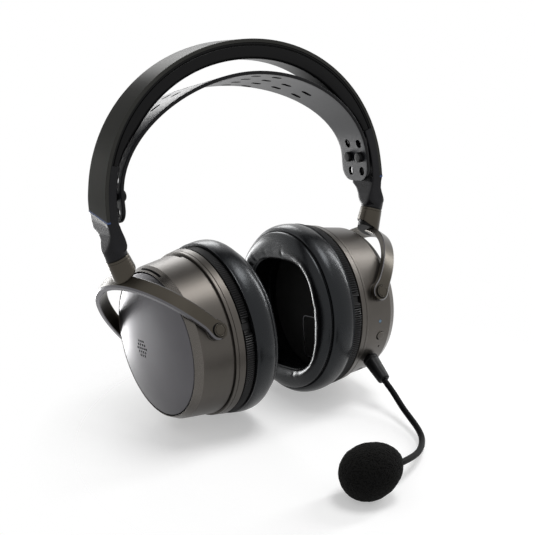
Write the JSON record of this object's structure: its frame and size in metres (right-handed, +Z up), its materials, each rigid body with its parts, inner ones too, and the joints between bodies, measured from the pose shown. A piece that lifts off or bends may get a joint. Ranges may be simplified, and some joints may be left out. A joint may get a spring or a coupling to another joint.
{
  "type": "wireless headset with boom microphone",
  "caption": "Over-ear headset with a sprung headband, suspension strap, swivelling and tilting cups on C-shaped yokes, soft cushions and a plug-in boom microphone.",
  "frame": {"origin": "midway between the ear cushions, on the line through the middles of the ear openings", "axes": "+X to the wearer's left, the side of the boom; +Y to the back of the head; +Z up to the crown"},
  "size_m": [0.1872, 0.1885, 0.2271],
  "materials": {
    "spring_steel": "satin gunmetal paint on spring steel",
    "band_lining": "smooth soft-touch black",
    "strap_rubber": "matte, fine grain",
    "charcoal_plastic": "satin moulded charcoal",
    "blue_accent": "satin blue inlay",
    "black_plastic": "satin moulded black",
    "black_screw": "black oxide",
    "gunmetal_alloy": "bead-blasted gunmetal with bright cut edges",
    "gunmetal_shell": "satin gunmetal lacquer",
    "gunmetal_cover": "smooth satin gunmetal lacquer",
    "ribbed_plastic": "moulded black with fine ribs",
    "black_leatherette": "soft leatherette over memory foam",
    "driver_cloth": "open black cloth",
    "frame_alloy": "plain",
    "magnet_steel": "plated",
    "driver_film": "thin film",
    "board_green": "printed circuit board",
    "battery_wrap": "foil pouch",
    "light_lens": "small clear lens",
    "port_steel": "plain",
    "neck_rubber": "matte black over steel wire",
    "capsule_plastic": "plain",
    "foam": "open-cell foam"
  },
  "bodies": {
    "headband": {"headband_spring": "spring_steel", "headband_lining": "band_lining", "suspension_strap": "strap_rubber", "end_piece_left": "charcoal_plastic", "end_piece_right": "charcoal_plastic", "accent_stripe_left": "blue_accent", "accent_stripe_right": "blue_accent", "strap_pegs_left": "black_plastic", "strap_pegs_right": "black_plastic", "end_screw_left": "black_screw", "end_screw_right": "black_screw", "swivel_washer_left": "black_plastic", "swivel_washer_right": "black_plastic"},
    "left_yoke": {"yoke_left": "gunmetal_alloy", "swivel_sleeve_left": "gunmetal_alloy", "sleeve_insert_left": "black_plastic", "pivot_pins_left": "gunmetal_alloy"},
    "left_cup": {"cup_housing_left": "gunmetal_shell", "cup_cover_left": "gunmetal_cover", "pad_ring_left": "ribbed_plastic", "ear_cushion_left": "black_leatherette", "baffle_left": "black_plastic", "driver_cloth_left": "driver_cloth", "driver_frame_left": "frame_alloy", "diaphragm_left": "driver_film", "driver_magnet_left": "magnet_steel", "baffle_screws_left": "black_screw", "circuit_board": "board_green", "status_light": "light_lens", "boom_socket": "black_plastic", "charging_port": "port_steel", "cable_socket": "black_plastic"},
    "right_yoke": {"yoke_right": "gunmetal_alloy", "swivel_sleeve_right": "gunmetal_alloy", "sleeve_insert_right": "black_plastic", "pivot_pins_right": "gunmetal_alloy"},
    "right_cup": {"cup_housing_right": "gunmetal_shell", "cup_cover_right": "gunmetal_cover", "pad_ring_right": "ribbed_plastic", "ear_cushion_right": "black_leatherette", "baffle_right": "black_plastic", "driver_cloth_right": "driver_cloth", "driver_frame_right": "frame_alloy", "diaphragm_right": "driver_film", "driver_magnet_right": "magnet_steel", "baffle_screws_right": "black_screw", "battery": "battery_wrap"},
    "power_key": {"power_button": "gunmetal_shell"},
    "boom": {"boom_plug": "black_plastic", "gooseneck": "neck_rubber"},
    "mic_head": {"mic_capsule": "capsule_plastic", "windscreen": "foam"}
  },
  "joints": [
    {"name": "left_swivel", "type": "hinge", "parent": "headband", "child": "left_yoke", "pos_m": [0.086, -0.003, 0.05129], "axis": [-0.3584, 0, -0.9336], "range_deg": [-10, 30]},
    {"name": "left_tilt", "type": "hinge", "parent": "left_yoke", "child": "left_cup", "pos_m": [0.05419, 0, 0], "axis": [0, 0.9703, -0.2419], "range_deg": [-15, 15]},
    {"name": "right_swivel", "type": "hinge", "parent": "headband", "child": "right_yoke", "pos_m": [-0.086, -0.003, 0.05129], "axis": [-0.3584, 0, 0.9336], "range_deg": [-10, 90]},
    {"name": "right_tilt", "type": "hinge", "parent": "right_yoke", "child": "right_cup", "pos_m": [-0.05419, 0, 0], "axis": [0, -0.9703, 0.2419], "range_deg": [-15, 15]},
    {"name": "power_press", "type": "slide", "parent": "left_cup", "child": "power_key", "axis": [0.0148, 0.9409, 0.3384], "range_m": [0, 0.0006], "stiffness_N_per_m": 600, "springref_m": -0.0005},
    {"name": "boom_pull", "type": "slide", "parent": "left_cup", "child": "boom", "axis": [-0.0282, -0.7638, -0.6448], "range_m": [0, 0.014]},
    {"name": "mic_bend", "type": "hinge", "parent": "boom", "child": "mic_head", "pos_m": [0.04245, -0.08516, -0.05812], "axis": [0, 0, 1], "range_deg": [-15, 15], "deforming": ["gooseneck"]}
  ]
}
